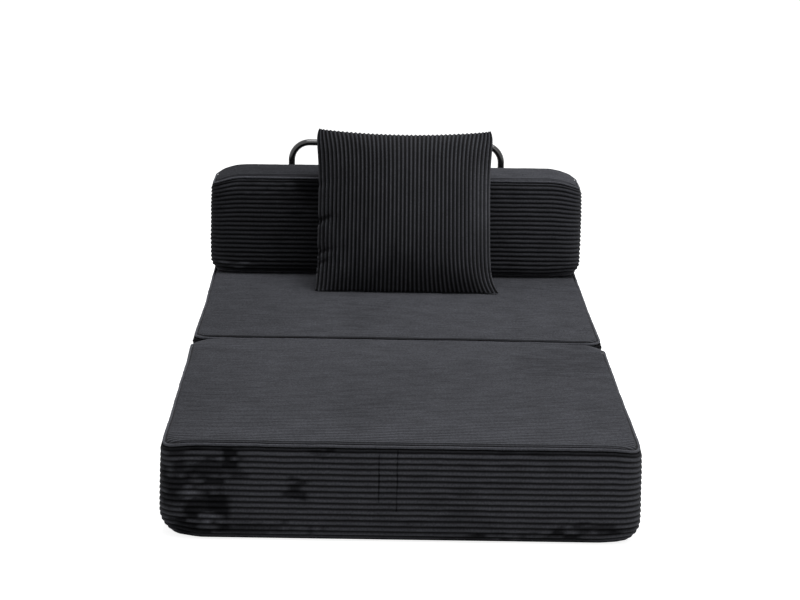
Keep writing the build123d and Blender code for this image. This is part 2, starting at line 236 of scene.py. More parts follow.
# Bolster's band: painted shade over all of it, deeper at its left end
BOLSTER_SHADING = pile_marks(
    (0, 100, 1400, 900, 0.48),
    (-380, 100, 560, 400, 0.55),
)
# Bolster's top: painted shade at its left end
BOLSTER_TOP_SHADING = pile_marks(
    (-360, 0, 620, 500, 0.8),
)
# Rear cushion's top: painted shade along its front seam in the groove between the cushions and at its left
# end, a little painted light right of its middle, and the pillow's painted shadow beside it
REAR_SEAT_SHADING = pile_marks(
    (0, -462, 1400, 13, 1.5),
    (-420, -200, 300, 500, 0.2),
    (100, -300, 500, 300, -0.1),
    (-130, 60, 160, 120, 0.35),
)
# Pillow: darker over all of it, painted shade on its left part and at three puckers in its left seam, a faint
# darkening below its top seam, and a painted highlight down its right side
PILLOW_SHADING = pile_marks(
    (0, 0, 900, 900, 0.12),
    (-220, 60, 260, 300, 0.36),
    (-204, -32, 32, 7, 0.9),
    (-206, -112, 34, 6, 0.8),
    (-208, -138, 26, 6, 0.7),
    (0, 150, 200, 90, 0.15),
    (196, 20, 40, 130, -0.5),
)


def linear(code):
    """An sRGB hex colour as linear red, green and blue."""
    shades = [int(code[i:i + 2], 16) / 255 for i in (0, 2, 4)]
    return tuple(s / 12.92 if s <= 0.04045 else ((s + 0.055) / 1.055) ** 2.4 for s in shades)


def smooth_step(low, high, value):
    """A soft rise from 0 at low to 1 at high."""
    share = min(max((value - low) / (high - low), 0), 1)
    return share * share * (3 - 2 * share)


class SOFABED_PG_cloth(bpy.types.PropertyGroup):
    """Sizes and colours of the corduroy."""

    wale: FloatProperty(
        name="Wale", description="Width of one cord of the cloth", default=10.8 * MM, unit="LENGTH")
    depth: FloatProperty(
        name="Depth", description="Height of a cord above its groove", default=3.4 * MM, unit="LENGTH")
    rows: IntProperty(
        name="Rows", description="Rows of faces across one cord", default=6, min=2)
    column: FloatProperty(
        name="Column", description="Length of a face along a cord", default=12 * MM, unit="LENGTH")
    slack: FloatProperty(
        name="Slack", description="How far a cover lies from its true form", default=1.3 * MM, unit="LENGTH")
    crest: FloatVectorProperty(
        name="Crest", description="Colour of the pile on a cord", subtype="COLOR", default=linear("414247"))
    # The groove colour is painted shade: it darkens the cloth between the cords, beyond the shade that the
    # sunk grooves get
    groove: FloatVectorProperty(
        name="Groove", description="Colour between two cords", subtype="COLOR", default=linear("09090b"))


class SOFABED_PG_pillow(bpy.types.PropertyGroup):
    """Form of the pillow."""

    lean: FloatProperty(
        name="Lean", description="Lean of the pillow from upright", default=math.radians(33), subtype="ANGLE")
    thickness: FloatProperty(
        name="Thickness", description="Thickness of the filled pillow", default=144 * MM, unit="LENGTH")
    sag: FloatProperty(
        name="Sag", description="Dip of the top edge between its corners", default=18 * MM, unit="LENGTH")
    pressure: FloatProperty(
        name="Pressure", description="Pressure of the filling on the cover", default=4.0)
    growth: FloatProperty(
        name="Growth", description="Share of spare cloth in the cover", default=0.05)


class SOFABED_PG_stage(bpy.types.PropertyGroup):
    """Camera and light."""

    lens: FloatProperty(
        name="Lens", description="Focal length on a 36 mm wide sensor", default=126.9)
    place: FloatVectorProperty(
        name="Place", description="Where the camera stands", default=(-0.0726, -6.022, 1.4662), subtype="XYZ")
    pitch: FloatProperty(
        name="Pitch", description="How far the camera looks down", subtype="ANGLE",
        default=math.radians(11.197))
    yaw: FloatProperty(
        name="Yaw", description="How far the camera looks to the right", subtype="ANGLE",
        default=math.radians(0.723))
    roll: FloatProperty(
        name="Roll", description="Turn of the camera about its view", subtype="ANGLE",
        default=math.radians(1.05))
    ambient: FloatProperty(
        name="Ambient", description="Strength of the even light from all sides", default=0.32)
    key_power: FloatProperty(
        name="Key power", description="Power of the large light above", default=130.0, unit="POWER")
    side_power: FloatProperty(
        name="Side power", description="Power of the light at the front right", default=8.0, unit="POWER")
    lift: FloatProperty(
        name="Lift", description="Light that the paper adds for the camera", default=0.85)
    floor: FloatVectorProperty(
        name="Floor", description="Colour of the floor", subtype="COLOR", default=linear("e6e6e6"))


def settings(name):
    return getattr(bpy.context.scene, "sofabed_" + name)


def add_node(tree, kind, inputs=None, **choices):
    """Adds a shader node, makes its choices, and sets or links its inputs."""
    made = tree.nodes.new("ShaderNode" + kind)
    for name, value in choices.items():
        setattr(made, name, value)
    for socket, value in (inputs or {}).items():
        if isinstance(value, bpy.types.NodeSocket):
            tree.links.new(value, made.inputs[socket])
        else:
            made.inputs[socket].default_value = value
    return made


def start_material(name):
    """A new material and its empty node tree."""
    material = bpy.data.materials.new(name)
    material.use_nodes = True
    material.node_tree.nodes.clear()
    return material, material.node_tree


def finish_surface(tree, inputs):
    """Adds the shader with its inputs, and links it to the output."""
    shader = add_node(tree, "BsdfPrincipled", inputs)
    add_node(tree, "OutputMaterial", {"Surface": shader.outputs["BSDF"]})
    return shader


def corduroy():
    """Wide-wale corduroy: brushed polyester pile, with painted shade in its grooves, pale where light grazes
    the pile.
    """
    cloth = settings("cloth")
    material, tree = start_material("Wide corduroy, brushed polyester pile")
    place = add_node(tree, "UVMap", uv_map="cloth").outputs["UV"]
    pile = add_node(tree, "Attribute", attribute_name="pile").outputs["Fac"]
    nap_and_shading = add_node(tree, "Attribute", attribute_name="nap_and_shading").outputs["Fac"]
    # Tufts of pile about 4 mm wide, coarser than the real fibres so that they show
    tufts = add_node(tree, "TexNoise", {"Vector": place, "Scale": 1 / (4 * MM), "Detail": 3.0})
    drifts = add_node(tree, "TexNoise", {"Vector": place, "Scale": 1 / (60 * MM), "Detail": 2.0})
    # The pile attribute mixes in the groove colour, painted shade between the cords
    depth = add_node(tree, "Math", {0: pile, 1: 1.7}, operation="POWER")
    body = add_node(
        tree, "Mix", {"Factor": depth.outputs[0], 6: (*cloth.groove, 1), 7: (*cloth.crest, 1)},
        data_type="RGBA")
    tuft_shade = add_node(
        tree, "MapRange", {"Value": tufts.outputs["Fac"], 1: 0.3, 2: 0.7, 3: 0.72, 4: 1.25})
    drift_shade = add_node(
        tree, "MapRange", {"Value": drifts.outputs["Fac"], 1: 0.3, 2: 0.7, 3: 0.86, 4: 1.12})
    # The attribute darkens the colour where the pile is brushed flat, and also carries painted shade and
    # painted light: broad drifts, dark lines along seams and creases, and the pillow's grooves
    nap_shade = add_node(tree, "MapRange", {"Value": nap_and_shading, 1: -1.0, 2: 1.4, 3: 1.7, 4: 0.2})
    # The sheen and faint gloss drop with the attribute, both where the pile is brushed flat and where shade
    # is painted on
    upright = add_node(tree, "MapRange", {"Value": nap_and_shading, 1: 0.0, 2: 1.4, 3: 1.0, 4: 0.3})
    sheen = add_node(tree, "Math", {0: upright.outputs[0], 1: 0.12}, operation="MULTIPLY")
    gloss = add_node(tree, "Math", {0: upright.outputs[0], 1: 0.15}, operation="MULTIPLY")
    shade = add_node(
        tree, "Math", {0: tuft_shade.outputs[0], 1: drift_shade.outputs[0]}, operation="MULTIPLY")
    shade = add_node(tree, "Math", {0: shade.outputs[0], 1: nap_shade.outputs[0]}, operation="MULTIPLY")
    colour = add_node(
        tree, "VectorMath", {0: body.outputs[2], "Scale": shade.outputs[0]}, operation="SCALE")
    bump = add_node(
        tree, "Bump", {"Height": tufts.outputs["Fac"], "Strength": 0.5, "Distance": 0.8 * MM})
    finish_surface(tree, {
        "Base Color": colour.outputs[0], "Normal": bump.outputs[0], "Roughness": 0.9,
        "Specular IOR Level": gloss.outputs[0], "Sheen Weight": sheen.outputs[0], "Sheen Roughness": 0.5,
        "Sheen Tint": (*linear("c0c1c6"), 1)})
    return material


def base_cloth():
    """Non-slip base cloth: black woven polyester with small moulded grip dots."""
    material, tree = start_material("Non-slip base cloth, woven polyester")
    place = add_node(tree, "TexCoord").outputs["Object"]
    # Grip dots 3 mm wide, one every 12 mm
    cells = add_node(
        tree, "TexVoronoi", {"Vector": place, "Scale": 1 / (12 * MM), "Randomness": 0.0},
        voronoi_dimensions="2D")
    dots = add_node(
        tree, "MapRange", {"Value": cells.outputs["Distance"], 1: 0.10, 2: 0.14, 3: 1.0, 4: 0.0})
    weave = add_node(tree, "TexNoise", {"Vector": place, "Scale": 1 / (1.5 * MM), "Detail": 2.0})
    colour = add_node(
        tree, "Mix", {"Factor": dots.outputs[0], 6: (*linear("1b1b1d"), 1), 7: (*linear("08080a"), 1)},
        data_type="RGBA")
    raised = add_node(tree, "Math", {0: dots.outputs[0], 1: weave.outputs["Fac"]}, operation="ADD")
    bump = add_node(tree, "Bump", {"Height": raised.outputs[0], "Strength": 0.6, "Distance": 0.4 * MM})
    finish_surface(tree, {"Base Color": colour.outputs[2], "Normal": bump.outputs[0], "Roughness": 0.82})
    return material


def open_foam(name, code):
    """Cut polyurethane foam or loose fibre filling: pale, matte and finely pitted."""
    material, tree = start_material(name)
    place = add_node(tree, "TexCoord").outputs["Object"]
    # Cells about 1.5 mm wide
    pores = add_node(tree, "TexVoronoi", {"Vector": place, "Scale": 1 / (1.5 * MM)})
    shade = add_node(tree, "MapRange", {"Value": pores.outputs["Distance"], 1: 0.0, 2: 0.8, 3: 0.8, 4: 1.05})
    colour = add_node(tree, "VectorMath", {0: linear(code), "Scale": shade.outputs[0]}, operation="SCALE")
    bump = add_node(
        tree, "Bump", {"Height": pores.outputs["Distance"], "Strength": 0.4, "Distance": 0.5 * MM})
    finish_surface(tree, {"Base Color": colour.outputs[0], "Normal": bump.outputs[0], "Roughness": 0.95})
    return material


def zip_tape_cloth():
    """Woven zip tape: flat black polyester with a fine herringbone of threads."""
    material, tree = start_material("Zip tape, woven polyester")
    place = add_node(tree, "UVMap", uv_map="cloth").outputs["UV"]
    # Threads 1 mm apart, coarser than the real 0.4 mm so that they show
    threads = add_node(
        tree, "TexWave", {"Vector": place, "Scale": 1 / (20 * MM), "Distortion": 1.0},
        bands_direction="DIAGONAL")
    colour = add_node(
        tree, "Mix", {"Factor": threads.outputs["Fac"], 6: (*linear("101012"), 1), 7: (*linear("232326"), 1)},
        data_type="RGBA")
    bump = add_node(tree, "Bump", {"Height": threads.outputs["Fac"], "Strength": 0.4, "Distance": 0.2 * MM})
    finish_surface(tree, {"Base Color": colour.outputs[2], "Normal": bump.outputs[0], "Roughness": 0.75})
    return material


def speckled(name, code, roughness, metallic=0.0, coat=0.0, grain=6 * MM, spread=0.12, bump_height=0.0):
    """A hard finish whose colour and gloss drift a little over its surface."""
    material, tree = start_material(name)
    place = add_node(tree, "TexCoord").outputs["Object"]
    drift = add_node(tree, "TexNoise", {"Vector": place, "Scale": 1 / grain, "Detail": 4.0})
    shade = add_node(
        tree, "MapRange", {"Value": drift.outputs["Fac"], 1: 0.3, 2: 0.7, 3: 1 - spread, 4: 1 + spread})
    colour = add_node(tree, "VectorMath", {0: linear(code), "Scale": shade.outputs[0]}, operation="SCALE")
    low, high = roughness * (1 - spread), roughness * (1 + spread)
    gloss = add_node(tree, "MapRange", {"Value": drift.outputs["Fac"], 1: 0.3, 2: 0.7, 3: low, 4: high})
    shader = finish_surface(tree, {
        "Base Color": colour.outputs[0], "Roughness": gloss.outputs[0], "Metallic": metallic,
        "Coat Weight": coat, "Coat Roughness": roughness / 2})
    if bump_height:
        bump = add_node(
            tree, "Bump", {"Height": drift.outputs["Fac"], "Strength": 0.5, "Distance": bump_height})
        tree.links.new(bump.outputs[0], shader.inputs["Normal"])
    return material


def finishes():
    """Every material by the record's slot that it finishes, made once."""
    if not made_finishes:
        made_finishes.update(
            corduroy=corduroy(),
            base_cloth=base_cloth(),
            foam=open_foam("Cushion foam, cut polyurethane", "cfc7b4"),
            fill=open_foam("Pillow filling, polyester fibre", "e4e3df"),
            zip_cloth=zip_tape_cloth(),
            # Extruded nylon coil: slightly shiny black filament
            zip_plastic=speckled("Zip coil, nylon filament", "151517", 0.35),
            # Zinc slider with black lacquer, its tone and gloss drifting a little over it
            zip_metal=speckled("Zip slider, lacquered zinc", "1c1c1f", 0.3, metallic=0.6, grain=3 * MM),
            # Baked black gloss enamel on steel tube: deep black with clean highlights
            black_tube=speckled("Gloss enamel on steel tube", "0b0b0c", 0.16, coat=0.6, grain=40 * MM),
            # Injection-moulded polyethylene: dull black with a faint orange peel
            frame_plastic=speckled(
                "Moulded polyethylene", "18181a", 0.55, grain=2 * MM, bump_height=0.1 * MM),
            # Screws with a black oxide finish: dark grey metal
            screw_steel=speckled("Black oxide steel", "3a3a3d", 0.38, metallic=1.0, grain=3 * MM),
        )
    return made_finishes


made_finishes = {}


def make_piece(name, form, body, slot, *nodes):
    """Turns a bmesh into a smooth, finished piece that stands for the given nodes."""
    mesh = bpy.data.meshes.new(name)
    form.to_mesh(mesh)
    form.free()
    mesh.polygons.foreach_set("use_smooth", [True] * len(mesh.polygons))
    mesh.materials.append(finishes()[slot])
    piece = bpy.data.objects.new(name, mesh)
    bpy.context.scene.collection.objects.link(piece)
    if body:
        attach(piece, body)
    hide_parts(*nodes)
    return piece


def thicken(piece, thickness):
    """Gives a skin its thickness, inwards."""
    wall = piece.modifiers.new("Thickness", "SOLIDIFY")
    wall.thickness = thickness
    wall.offset = -1


def cord_height(place):
    """Height of the pile, from 0 in a groove to 1 on a cord, at a place counted in cords."""
    return abs(math.sin(math.pi * place))


def crushed(along, across, seed):
    """How far the pile is brushed down, drifting along each cord by itself."""
    cord = round(across / settings("cloth").wale)
    drift = noise.noise(Vector((along * CRUSH_CELLS[0], across * CRUSH_CELLS[1], seed)))
    ragged = noise.noise(Vector((along * CRUSH_EDGE_CELLS[0], cord * CRUSH_EDGE_CELLS[1], seed + 9)))
    return smooth_step(*CRUSH_STEP, drift + 0.4 * ragged)


def patched(along, across, cord, patches, seed):
    """Patches in the given table whose edges end cord by cord, darker for a positive strength and lighter for
    a negative one: brushed pile on the front cushion, painted highlights on the bolster.
    """
    total = 0
    for place, drop, reach_along, reach_across, strength in patches:
        away = math.hypot((along - place) / reach_along, (across - drop) / reach_across)
        if away > 2:
            continue
        coarse, fine = (
            noise.noise(Vector((along * cells, cord * cord_cells, seed + 3 * turn)))
            for turn, (cells, cord_cells) in enumerate(PATCH_EDGE_CELLS))
        ragged = coarse + 0.7 * fine
        total += strength * (1 - smooth_step(*PATCH_FADE, away + 1.1 * ragged))
    return total


def painted_drifts(along, across, drifts):
    """Broad, soft painted shade and light on the pile, darker for a positive strength and lighter for a
    negative one.
    """
    total = 0
    for place, drop, reach_along, reach_across, strength in drifts:
        away = math.hypot((along - place) / reach_along, (across - drop) / reach_across)
        total += strength * (1 - smooth_step(*DRIFT_FADE, away))
    return total


def slack_at(place):
    """How far a cover lies from its true form at a place: long soft waves and some short ones."""
    total = Vector()
    for length, share, start in SLACK_WAVES:
        total += share * noise.noise_vector(place / length + Vector(start))
    return total * settings("cloth").slack


class TubeRoom:
    """Where the tubes under the rear cushion press its cover in."""

    def __init__(self):
        low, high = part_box("right_runner")
        self.radius = (high[0] - low[0]) / 2
        self.x = (low[0] + high[0]) / 2
        self.z = low[2] + self.radius
        self.bend_y = high[1] - self.radius - RUNNER_BEND
        self.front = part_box("runner_end_plugs")[0][1]
        low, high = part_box("runner_cross_tube")
        self.cross_y = (low[1] + high[1]) / 2

    def cut(self, form):
        """Finer columns and rows along the tubes, for the cover to bend at."""
        lines = [((side * self.x + step, 0, 0), (1, 0, 0)) for side in (-1, 1) for step in TUBE_CUTS]
        lines += [((0, self.cross_y + step, 0), (0, 1, 0)) for step in TUBE_CUTS]
        for place, normal in lines:
            axis = normal.index(1)
            near = [face for face in form.faces
                    if abs(face.calc_center_median()[axis] - place[axis]) < TUBE_NEAR]
            edges = {edge for face in near for edge in face.edges}
            verts = {vert for face in near for vert in face.verts}
            bmesh.ops.bisect_plane(form, geom=[*verts, *edges, *near], plane_co=place, plane_no=normal)

    def stand_off(self, x, y):
        """How far above the tubes' axes the cover must lie at a plan place."""
        away = math.hypot(abs(x) - self.x, max(self.front - y, 0))
        if abs(x) < self.x:
            away = min(away, abs(y - self.cross_y))
        room = self.radius + TUBE_CLEARANCE
        if away < room:
            return math.sqrt(room ** 2 - away ** 2)
        return -self.z * min((away - room) / TUBE_HEM, 1)

    def press(self, place):
        """Moves a point of the cover off the tubes: up, or into the bend at their rear end."""
        keep = self.stand_off(place.x, place.y)
        if place.y < self.bend_y:
            place.z = max(place.z, self.z + keep)
            return
        back, drop = place.y - self.bend_y, self.z + RUNNER_BEND - place.z
        reach, limit = math.hypot(back, drop), RUNNER_BEND - keep
        if drop > 0 and reach > limit:
            place.y = self.bend_y + back * limit / reach
            place.z = self.z + RUNNER_BEND - drop * limit / reach


class BoxedCushion:
    """The form of a boxed cushion, in its own frame: base at 0, crowned top up, front at -Y."""

    def __init__(self, name, corner, top_round, base_round, draw):
        """Takes the main sizes from the boxes of the cushion's band, top panel and bottom panel."""
        low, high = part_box(name + "_side_band")
        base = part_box(name + "_bottom_panel")[0][2]
        top_low, top_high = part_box(name + "_top_panel")
        self.name = name
        self.width = high[0] - low[0]
        self.length = high[1] - low[1]
        self.corner = corner
        self.top_round = top_round
        self.base_round = base_round
        self.draw = draw
        self.flat_end = 0
        self.tubes = None
        self.droop = (0, 1, 1)
        self.front_rounds = (base_round, base_round, base_round)
        self.place = Matrix.Translation((0, (low[1] + high[1]) / 2, base))
        self.seam_inset = top_round * (1 - math.cos(SEAM_ANGLE))
        top_edge = top_low[2] + self.seam_inset
        self.edge = top_edge - base
        self.crown = top_high[2] - top_edge
        base_angle = math.asin(1 - BASE_SEAM_RISE / base_round)
        self.top_arc = top_round * SEAM_ANGLE
        self.base_inset = base_round * (1 - math.cos(base_angle))
        self.band_drop = self.top_arc + self.edge - top_round - base_round + base_round * base_angle
        self.girth = 2 * (self.width + self.length) - 8 * corner + math.tau * corner

    def outline(self, walk):
        """Place and outward direction in plan, at a walk from the middle of the front to the right."""
        walk = (walk + self.width / 2 - self.corner) % self.girth
        arc = math.pi / 2 * self.corner
        centre = Vector((self.corner - self.width / 2, self.corner - self.length / 2))
        heading = 0.0
        for span in (self.width, self.length, self.width, self.length):
            run = span - 2 * self.corner
            step = min(walk, run)
            centre += Vector((math.cos(heading), math.sin(heading))) * step
            turn = min((walk - step) / self.corner, math.pi / 2)
            if walk <= run + arc:
                break
            walk -= run + arc
            heading += math.pi / 2
        out = Vector((math.sin(heading + turn), -math.cos(heading + turn)))
        place = centre + out * self.corner
        pull = self.draw * (1 - (2 * place.y / self.length) ** 2) * abs(out.x)
        return place - out * pull, out

    def base_round_at(self, x, y):
        """Radius of the base edge at a plan place: tight in the middle of the front, slacker at its ends."""
        left, middle, right = self.front_rounds
        from_side = self.width / 2 - abs(x)
        from_front = y + self.length / 2
        end = 1 - smooth_step(BASE_ROUND_END, BASE_ROUND_FADE, from_side)
        forward = 1 - smooth_step(BASE_ROUND_END, BASE_ROUND_FADE, from_front)
        radius = middle + ((left if x < 0 else right) - middle) * end
        return self.base_round + (radius - self.base_round) * forward

    def base_seam(self, base_round):
        """Angle round the base edge, and height, where the band meets the base panel."""
        angle = math.acos(1 - self.base_inset / base_round)
        return angle, base_round * (1 - math.sin(angle))

    def section(self, share, base_round):
        """Inset, height and upward tilt of the band at a share of the way down it from the seam."""
        usual_round = self.front_rounds[1]
        usual_angle, usual_seam = self.base_seam(usual_round)
        wall = self.edge - self.top_round - usual_round
        drop = share * (self.top_arc + wall + usual_round * usual_angle)
        if drop < self.top_arc:
            tilt = SEAM_ANGLE - drop / self.top_round
            inset = self.top_round * (1 - math.cos(tilt))
            return inset, self.edge - self.top_round * (1 - math.sin(tilt)), tilt
        z = self.edge - self.top_round - (drop - self.top_arc)
        if z < usual_round:
            z = usual_round * (1 - math.sin((usual_round - z) / usual_round))
        # Where the base edge is slacker, only the lowest cords bend up with it
        lift = self.base_seam(base_round)[1] - usual_seam
        z += lift * (1 - smooth_step(usual_seam, BASE_CORDS_BEND, z))
        level = max(base_round - z, 0)
        tilt = -math.asin(min(level / base_round, 1))
        return base_round * (1 - math.cos(tilt)), z, tilt

    def inset_of(self, x, y):
        """How far a plan place lies inside the outline."""
        over_x = abs(x) - (self.width / 2 - self.corner)
        over_y = abs(y) - (self.length / 2 - self.corner)
        if over_x > 0 and over_y > 0:
            return self.corner - math.hypot(over_x, over_y)
        return self.corner - max(over_x, over_y)

    def crown_at(self, x, y):
        """Rise of the crown at a plan place, faded out where something presses the top flat."""
        across = 1 - (2 * x / self.width) ** 2
        along = 1 - (2 * y / self.length) ** 2
        rise = self.crown * max(across, 0) ** CROWN_FULLNESS * max(along, 0) ** CROWN_FULLNESS
        if self.flat_end:
            start = self.length / 2 - self.flat_end
            rise *= 1 - smooth_step(start - CROWN_FADE, start, y)
        return rise

    def drooped(self, place):
        """How far a corner of the top edge hangs down at a place in the cushion's own frame."""
        drop, reach_x, reach_y = self.droop
        half_w, half_l = self.width / 2, self.length / 2
        near_x = max(abs(place.x) - half_w + reach_x, 0) / reach_x
        near_y = smooth_step(half_l - reach_y, half_l, abs(place.y))
        return drop * near_x ** 2 * near_y * max(place.z / self.edge, 0) ** 3

    def settle(self, form, rib_depth):
        """Puts a skin in its place, lets it lie a little slack, and sinks the grooves between its cords."""
        pile = form.verts.layers.float["pile"]
        for vert in form.verts:
            vert.co.z -= self.drooped(vert.co)
        bmesh.ops.transform(form, matrix=self.place, verts=form.verts)
        if self.tubes:
            self.tubes.cut(form)
        form.normal_update()
        for vert in form.verts:
            free = min(vert.co.z / SLACK_FROM, 1)
            groove = (vert[pile] - 1) * rib_depth
            vert.co += slack_at(vert.co) * free + vert.normal * groove
            if self.tubes and vert.co.z < self.edge / 2:
                self.tubes.press(vert.co)


def start_skin(columns, rows):
    """A grid from -1 to 1 with layers for its cloth's own map, its pile, and its nap with painted shade and
    light.
    """
    form = bmesh.new()
    form.verts.layers.float.new("pile")
    form.verts.layers.float.new("nap_and_shading")
    form.loops.layers.uv.new("cloth")
    bmesh.ops.create_grid(form, x_segments=columns, y_segments=rows, size=1)
    return form


def map_cloth(form, spots):
    """Writes each point's place on the flat cloth into the cloth's own map."""
    layer = form.loops.layers.uv["cloth"]
    for face in form.faces:
        for loop in face.loops:
            loop[layer].uv = spots[loop.vert]


def cloth_panel(cushion, top, drifts=()):
    """The ribbed top panel or the plain base panel, with its edge on the seam and a round shoulder."""
    cloth = settings("cloth")
    inset = cushion.seam_inset if top else cushion.base_inset
    half_l = cushion.length / 2 - inset
    cords = round(2 * half_l / cloth.wale)
    form = start_skin(PANEL_COLUMNS, cords * cloth.rows if top else cords)
    pile, nap_and_shading = form.verts.layers.float["pile"], form.verts.layers.float["nap_and_shading"]
    corner = cushion.corner - inset
    spots = {}
    for vert in form.verts:
        share_x, share_y, _ = vert.co
        y = share_y * half_l
        past = max(abs(y) - (half_l - corner), 0)
        reach = cushion.width / 2 - inset - corner + math.sqrt(max(corner ** 2 - past ** 2, 0))
        reach -= cushion.draw * (1 - share_y ** 2)
        x = math.copysign(1 - (1 - abs(share_x)) ** PANEL_CROWDING, share_x) * reach
        depth = cushion.inset_of(x, y)
        if top:
            level = cushion.top_round - min(depth, cushion.top_round)
            z = cushion.edge - cushion.top_round + math.sqrt(max(cushion.top_round ** 2 - level ** 2, 0))
            z += cushion.crown_at(x, y) * min(depth / cushion.top_round, 1)
        else:
            radius = cushion.base_round_at(x, y)
            level = radius - min(depth, radius)
            z = radius - math.sqrt(max(radius ** 2 - level ** 2, 0))
        vert.co = (x, y, z)
        spots[vert] = (x, y)
        if top:
            from_seam = smooth_step(BEAD_CREASE, CORD_START, min(depth - inset, half_l - abs(y)))
            vert[pile] = cord_height((share_y + 1) / 2 * cords) * from_seam
            vert[nap_and_shading] = TOP_CRUSH * crushed(x, y, seed=1 + cushion.width) + painted_drifts(x, y, drifts)
        else:
            vert[pile] = 1.0
    map_cloth(form, spots)
    if not top:
        bmesh.ops.reverse_faces(form, faces=form.faces)
    cushion.settle(form, cloth.depth if top else 0)
    return form


def zip_window(cushion):
    """Middle and half size, in the cushion's own frame, of the gap in the band for the zip tape."""
    inward = cushion.place.inverted()
    low, high = (inward @ Vector(corner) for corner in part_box(cushion.name + "_zip_tape"))
    half = [abs(b - a) / 2 for a, b in zip(low, high)]
    return (low + high) / 2, [half[0], half[1] + ZIP_MARGIN, half[2] + ZIP_MARGIN]


def cloth_band(cushion, drifts, patches, creases):
    """The band round the cushion, its cords running round it, with a window for the zip."""
    cloth = settings("cloth")
    cords = round(cushion.band_drop / cloth.wale)
    columns = round(cushion.girth / cloth.column)
    form = start_skin(columns, cords * cloth.rows)
    pile, nap_and_shading = form.verts.layers.float["pile"], form.verts.layers.float["nap_and_shading"]
    spots = {}
    for vert in form.verts:
        walk = vert.co.x * cushion.girth / 2
        drop = (1 - vert.co.y) / 2 * cushion.band_drop
        spots[vert] = (walk, -drop)
        share = drop / cushion.band_drop
        place, out = cushion.outline(walk)
        inset, z, tilt = cushion.section(share, cushion.base_round_at(*place))
        bulge = BAND_BULGE * math.sin(math.pi * share)
        flat = place - out * (inset - bulge * math.cos(tilt))
        vert.co = (flat.x, flat.y, z)
        vert[pile] = cord_height(share * cords) * smooth_step(BEAD_CREASE, CORD_START, drop)
        vert[nap_and_shading] = BAND_CRUSH * crushed(walk, drop, seed=2 + cushion.length) + painted_drifts(walk, drop, drifts)
        vert[nap_and_shading] += patched(walk, drop, int(share * cords), patches, seed=5.0)
    map_cloth(form, spots)
    bmesh.ops.remove_doubles(form, verts=form.verts, dist=MERGE_REACH)
    for crease, first, last in creases:
        for side in (-1, 0, 1):
            bmesh.ops.bisect_plane(
                form, geom=form.verts[:] + form.edges[:] + form.faces[:],
                plane_co=(crease + side * CREASE_HALF_WIDTH, 0, 0), plane_no=(1, 0, 0))
        for vert in form.verts:
            in_line = abs(vert.co.x - crease) < CREASE_HALF_WIDTH / 2 and vert.co.y < 0
            drop = cushion.edge - vert.co.z
            if in_line and first < drop < last:
                step = noise.noise(Vector((int(drop / cloth.wale) * 2.7, crease * 90, 1.3)))
                vert.co.y += CREASE_DEPTH
                vert.co.x += CREASE_STEP * step
                # The crease line is painted dark as well, as shade in the fold
                vert[nap_and_shading] = 1.2 + step
    middle, half_size = zip_window(cushion)
    inside = [face for face in form.faces
              if all(abs(c - m) < h for c, m, h in zip(face.calc_center_median(), middle, half_size))]
    bmesh.ops.delete(form, geom=inside, context="FACES")
    cushion.settle(form, cloth.depth)
    return form


def seam_bead(cushion):
    """The piping along the top seam, a thin tube that lies on the round of the cover."""
    form = start_skin(round(cushion.girth / BEAD_COLUMN), BEAD_SIDES)
    pile = form.verts.layers.float["pile"]
    spots = {}
    for vert in form.verts:
        walk, turn = vert.co.x * cushion.girth / 2, vert.co.y * math.pi
        place, out = cushion.outline(walk)
        inset, z, _ = cushion.section(0, cushion.base_round)
        flat = place - out * (inset - BEAD_RADIUS * math.cos(turn))
        vert.co = (flat.x, flat.y, z + BEAD_RADIUS * math.sin(turn))
        spots[vert] = (walk, turn * BEAD_RADIUS)
        vert[pile] = 1.0
    map_cloth(form, spots)
    bmesh.ops.remove_doubles(form, verts=form.verts, dist=MERGE_REACH)
    bmesh.ops.recalc_face_normals(form, faces=form.faces)
    cushion.settle(form, 0)
    return form


def foam_core(node, cushion, anchor_share=0.5):
    """The foam inside a cover: the frame's own solid, a little smaller, for its cover's cords to sink in."""
    form = bmesh.new()
    form.from_mesh(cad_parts[node].data)
    bmesh.ops.remove_doubles(form, verts=form.verts, dist=MERGE_REACH)
    low, high = (Vector(corner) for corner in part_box(node))
    anchor = (low + high) / 2
    anchor.z = low.z + (high.z - low.z) * anchor_share
    shrink = [1 - 2 * FOAM_GAP / size for size in high - low]
    bmesh.ops.scale(form, vec=shrink, space=Matrix.Translation(-anchor), verts=form.verts)
    inward = cushion.place.inverted()
    for vert in form.verts:
        vert.co.z -= cushion.drooped(inward @ vert.co)
    core = make_piece(node + "_core", form, cushion.name, "foam", node)


def cover_cushion(cushion, base_slot, top_drifts, band_drifts, patches=(), creases=()):
    """Sews one cushion's cover: top panel, band, base panel and piping."""
    name = cushion.name
    panels = (
        ("_top_cover", cloth_panel(cushion, True, top_drifts), "corduroy", "_top_panel"),
        ("_band_cover", cloth_band(cushion, band_drifts, patches, creases), "corduroy", "_side_band"),
        ("_base_cover", cloth_panel(cushion, False), base_slot, "_bottom_panel"),
    )
    for ending, form, slot, node_ending in panels:
        piece = make_piece(name + ending, form, name, slot, name + node_ending)
        thicken(piece, COVER_THICKNESS)
    make_piece(name + "_bead", seam_bead(cushion), name, "corduroy", name + "_piping")


